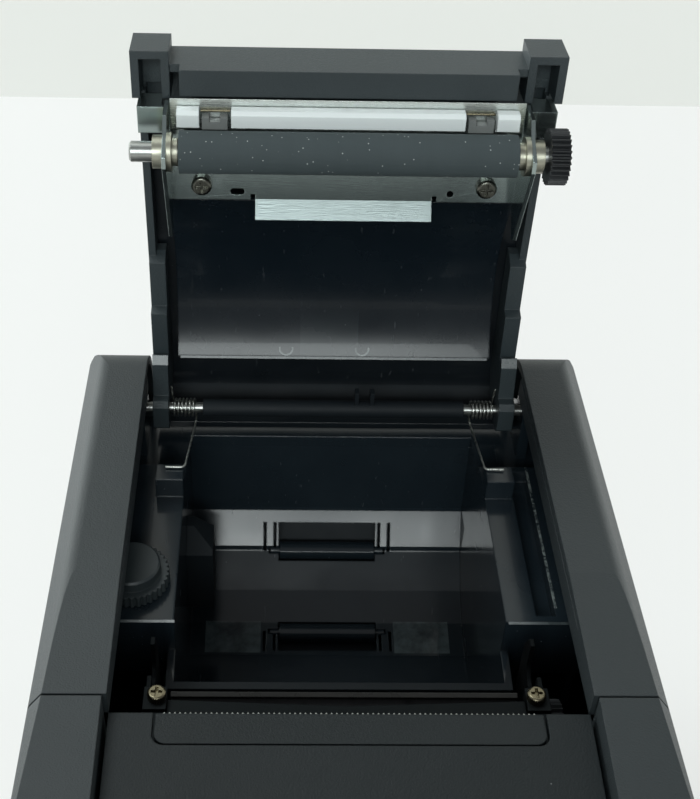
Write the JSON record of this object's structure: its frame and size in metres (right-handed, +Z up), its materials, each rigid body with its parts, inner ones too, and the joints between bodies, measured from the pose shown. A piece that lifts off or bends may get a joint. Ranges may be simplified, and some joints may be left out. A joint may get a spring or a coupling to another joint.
{
  "type": "thermal receipt printer",
  "caption": "Desktop thermal receipt printer with its paper lid open, drop-in paper bucket, platen roller, auto cutter and sliding front cutter cover.",
  "frame": {"origin": "on the table plane, under the middle of the printer's extent with its lid open", "axes": "+X to the right seen from the front, +Y to the rear where the hinge is, +Z up"},
  "size_m": [0.145, 0.2008, 0.2337],
  "materials": {
    "aluminium": "bare aluminium",
    "board": "green circuit board",
    "bright": "bright steel",
    "bushing": "dark grey low-friction plastic",
    "ceramic": "glazed ceramic heater plate",
    "gear": "dark grey plastic gear",
    "gold": "yellow-passivated steel",
    "inner": "glossy near-black plastic",
    "lens": "clear lamp rods",
    "motor": "motor case",
    "rubber": "dark grey rubber",
    "shell": "fine-textured charcoal plastic",
    "steel": "zinc-plated sheet steel",
    "white": "white plastic"
  },
  "bodies": {
    "base": {"bottom_case": "shell", "rubber_feet": "rubber", "case_screws": "bright", "main_housing": "shell", "front_wing_right": "shell", "front_wing_left": "shell", "front_fascia": "shell", "status_lenses": "lens", "panel_board": "board", "tear_bar_holder": "shell", "tear_bar": "bright", "paper_bucket": "inner", "near_end_sensor": "inner", "hinge_shaft": "bright", "shaft_sleeve": "inner", "hinge_spring_right": "gold", "hinge_spring_left": "gold", "mechanism_frame": "steel", "print_head_ceramic": "ceramic", "print_head_heatsink": "aluminium", "head_pivot": "bright", "head_springs": "bright", "feed_motor": "motor", "cutter_base": "steel", "cutter_lid": "steel", "cutter_screws": "gold", "cutter_gearbox": "inner", "cutter_motor": "motor", "main_board": "board", "rear_plate": "steel", "usb_socket": "steel", "drawer_socket": "inner", "power_socket": "inner", "switch_frame": "inner"},
    "lid": {"lid_cover": "shell", "lid_inner_guide": "inner", "platen_bracket": "steel", "bracket_screws": "bright", "platen_bushings": "bushing", "fixed_blade": "steel", "blade_guides": "white", "blade_clips": "bushing", "blade_spring_wires": "gold"},
    "platen": {"platen_shaft": "bright", "platen_rubber": "rubber", "platen_gear": "gear"},
    "cover": {"cutter_cover": "shell"},
    "button": {"feed_button": "inner"},
    "rocker": {"power_rocker": "inner"},
    "dial": {"near_end_dial": "inner"},
    "rear_roller": {"bucket_roller_rear": "inner"},
    "front_roller": {"bucket_roller_front": "inner"},
    "idler": {"idler_gear": "gear"},
    "reducer": {"reducer_gear": "gear"},
    "pinion": {"motor_pinion": "gold"},
    "crank": {"cutter_crank": "gear"},
    "blade": {"moving_blade": "steel"}
  },
  "joints": [
    {"name": "lid_hinge", "type": "hinge", "parent": "base", "child": "lid", "pos_m": [0, 0.0801, 0.1273], "axis": [1, 0, 0], "range_deg": [0, 92]},
    {"name": "platen_spin", "type": "hinge", "parent": "lid", "child": "platen", "pos_m": [0, 0.07362, 0.21408], "axis": [1, 0, 0], "continuous": true},
    {"name": "cover_slide", "type": "slide", "parent": "base", "child": "cover", "axis": [0, -1, 0], "range_m": [0, 0.018]},
    {"name": "button_press", "type": "slide", "parent": "base", "child": "button", "axis": [0, 1, 0], "range_m": [0, 0.001], "stiffness_N_per_m": 300},
    {"name": "rocker_tilt", "type": "hinge", "parent": "base", "child": "rocker", "pos_m": [0.042, 0.0891, 0.0201], "axis": [1, 0, 0], "range_deg": [0, 16]},
    {"name": "dial_turn", "type": "hinge", "parent": "base", "child": "dial", "pos_m": [-0.0534, 0.0237, 0.12], "axis": [0, 0, 1], "range_deg": [-60, 60]},
    {"name": "rear_roller_spin", "type": "hinge", "parent": "base", "child": "rear_roller", "pos_m": [0, 0.07589, 0.07149], "axis": [1, 0, 0], "continuous": true},
    {"name": "front_roller_spin", "type": "hinge", "parent": "base", "child": "front_roller", "pos_m": [0, 0.05418, 0.05766], "axis": [1, 0, 0], "continuous": true},
    {"name": "reducer_spin", "type": "hinge", "parent": "base", "child": "reducer", "pos_m": [0, -0.02296, 0.09564], "axis": [1, 0, 0], "continuous": true},
    {"name": "idler_spin", "type": "hinge", "parent": "base", "child": "idler", "pos_m": [0, -0.01531, 0.10889], "axis": [1, 0, 0], "continuous": true},
    {"name": "pinion_spin", "type": "hinge", "parent": "base", "child": "pinion", "pos_m": [0, -0.02967, 0.08606], "axis": [1, 0, 0], "continuous": true},
    {"name": "blade_slide", "type": "slide", "parent": "base", "child": "blade", "axis": [0, 1, 0], "range_m": [0, 0.0045]},
    {"name": "crank_turn", "type": "hinge", "parent": "base", "child": "crank", "pos_m": [0, -0.0409, 0.121], "axis": [0, 0, 1], "range_deg": [0, 90]}
  ],
  "couplings": [
    {"joint": "idler_spin", "follows": "reducer_spin", "ratio": -1.4286},
    {"joint": "pinion_spin", "follows": "reducer_spin", "ratio": -3.3333},
    {"joint": "crank_turn", "follows": "blade_slide", "rad_per_m": 349.07}
  ]
}
